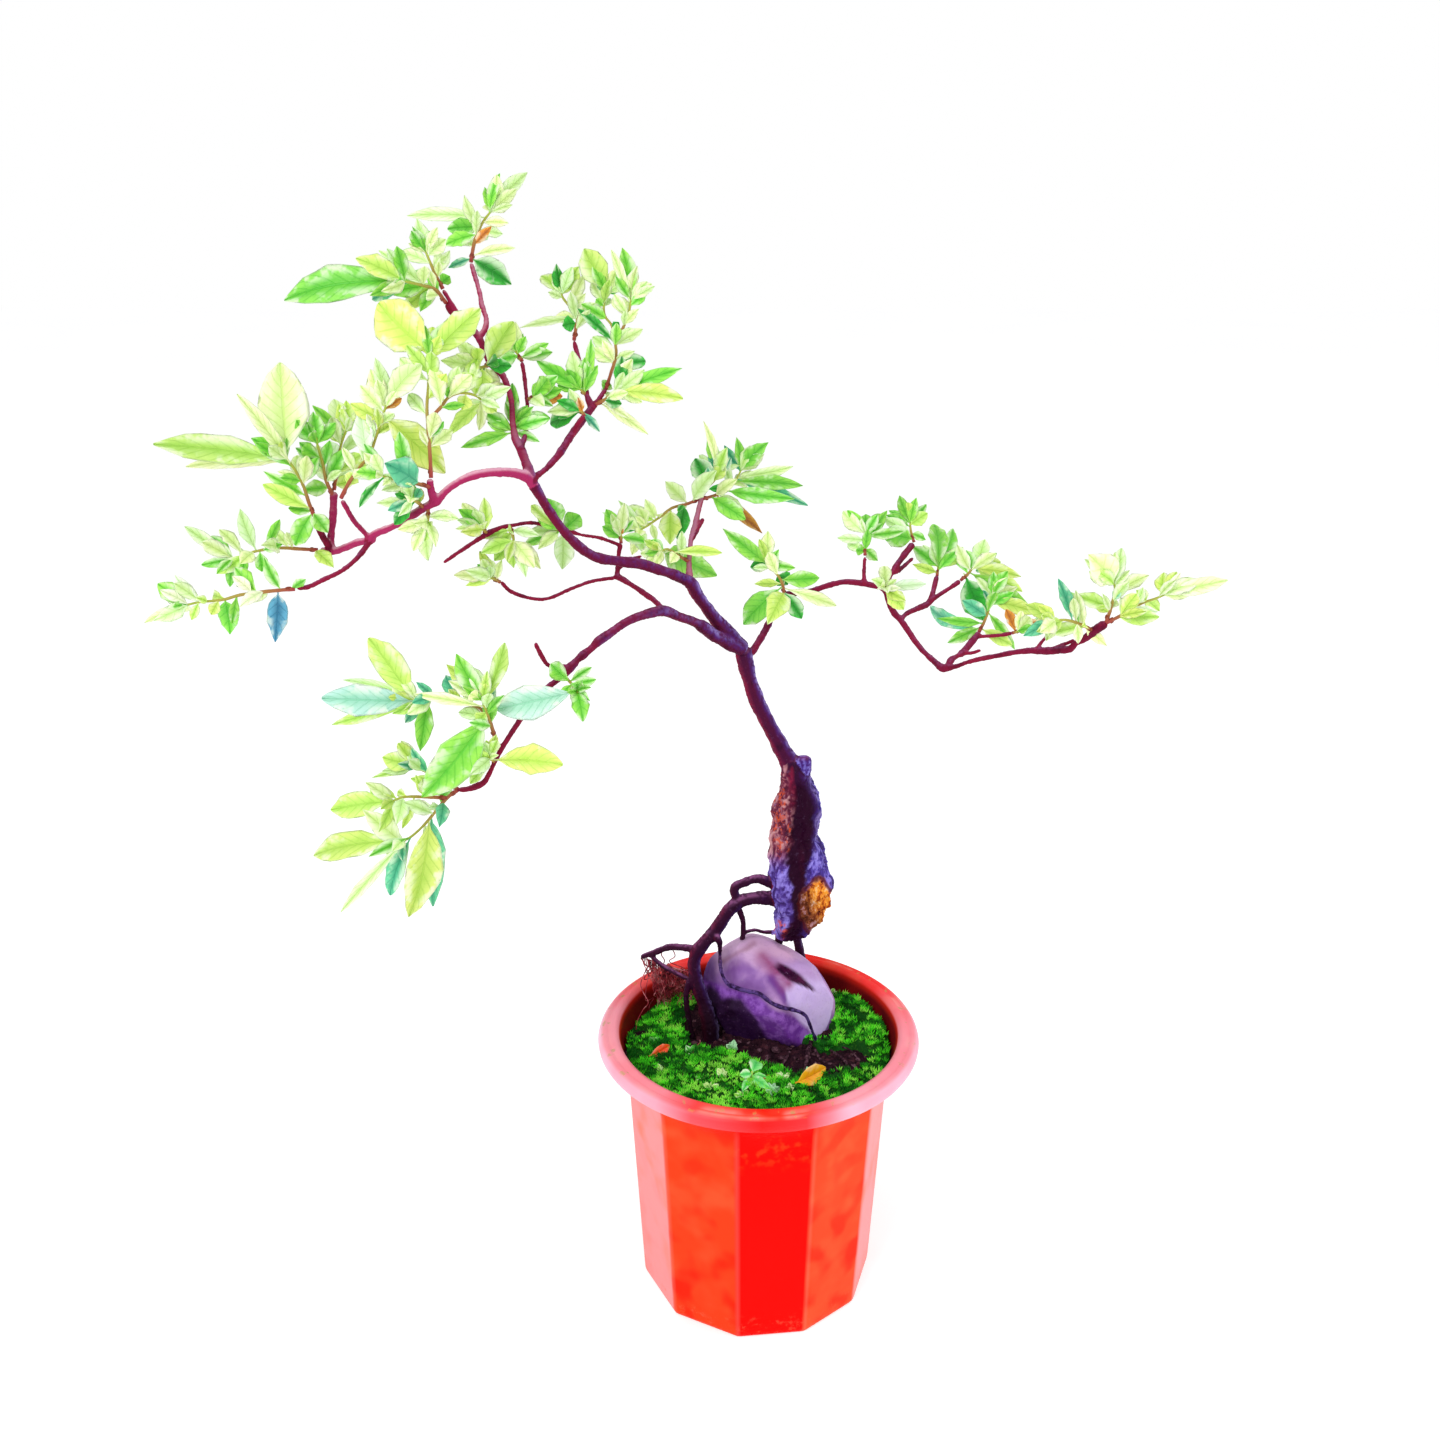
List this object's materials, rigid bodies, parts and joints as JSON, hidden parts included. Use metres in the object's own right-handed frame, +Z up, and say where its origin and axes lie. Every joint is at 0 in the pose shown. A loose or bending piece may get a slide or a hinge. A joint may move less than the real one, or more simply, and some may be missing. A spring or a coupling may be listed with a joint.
{
  "type": "azalea bonsai",
  "caption": "Potted azalea bonsai: leaning bare trunk on exposed roots over a stone, long drooping boughs with loose leafy shoots, in a twelve-sided plastic pot of mossy soil.",
  "frame": {"origin": "middle of the pot's flat underside", "axes": "+Z up the pot's axis, -Y towards the front of the tree, +X to the tree's right as seen from the front"},
  "size_m": [0.4908, 0.1898, 0.6126],
  "materials": {
    "pot_plastic": "worn semi-gloss orange-red plastic, paler on the rolled rim",
    "soil": "dark damp potting soil under moss",
    "stone": "smooth dull mauve-grey stone with rusty stains",
    "bark": "rough dark purple-brown bark, redder on young twigs",
    "leaf": "satin yellow-green leaves with paler veins",
    "leaf_pale": "satin pale new leaves",
    "leaf_dark": "satin deep green older leaves",
    "leaf_dead": "dry orange-brown dead leaves"
  },
  "bodies": {
    "root": {"fallen_leaf_left": "leaf_dead", "fallen_leaf_right": "leaf_dead", "pot": "pot_plastic", "seedling": "leaf", "shoot_apex": "leaf", "shoot_arch_low": "leaf", "shoot_arch_spray": "leaf", "shoot_beside": "leaf", "shoot_big_low": "leaf", "shoot_big_pair": "leaf", "shoot_bud": "leaf", "shoot_centre_green": "leaf", "shoot_crown_left": "leaf", "shoot_crown_low": "leaf", "shoot_crown_spray": "leaf", "shoot_crown_tall": "leaf", "shoot_dead_right": "leaf_dead", "shoot_dead_top": "leaf_dead", "shoot_elbow": "leaf", "shoot_far_left": "leaf", "shoot_far_low": "leaf", "shoot_far_tall": "leaf", "shoot_far_tip": "leaf", "shoot_heart": "leaf", "shoot_left_big": "leaf", "shoot_left_green": "leaf", "shoot_left_middle": "leaf", "shoot_left_pale": "leaf_pale", "shoot_low_front": "leaf", "shoot_low_hang": "leaf", "shoot_low_inner": "leaf", "shoot_low_left": "leaf", "shoot_low_left_fan": "leaf", "shoot_low_left_top": "leaf", "shoot_low_middle": "leaf", "shoot_middle_left": "leaf", "shoot_mottled": "leaf", "shoot_right_back": "leaf", "shoot_right_crown": "leaf", "shoot_right_dark": "leaf_dark", "shoot_right_heart": "leaf", "shoot_right_low": "leaf", "shoot_right_pair": "leaf", "shoot_right_upper": "leaf", "shoot_teal": "leaf_dark", "shoot_top_left": "leaf", "shoot_top_middle": "leaf", "shoot_top_right": "leaf", "shoot_upper_middle": "leaf", "shoot_whip_down": "leaf", "shoot_whip_end": "leaf", "shoot_whip_up": "leaf", "soil": "soil", "stone": "stone", "trunk_and_roots": "bark"}
  },
  "joints": []
}
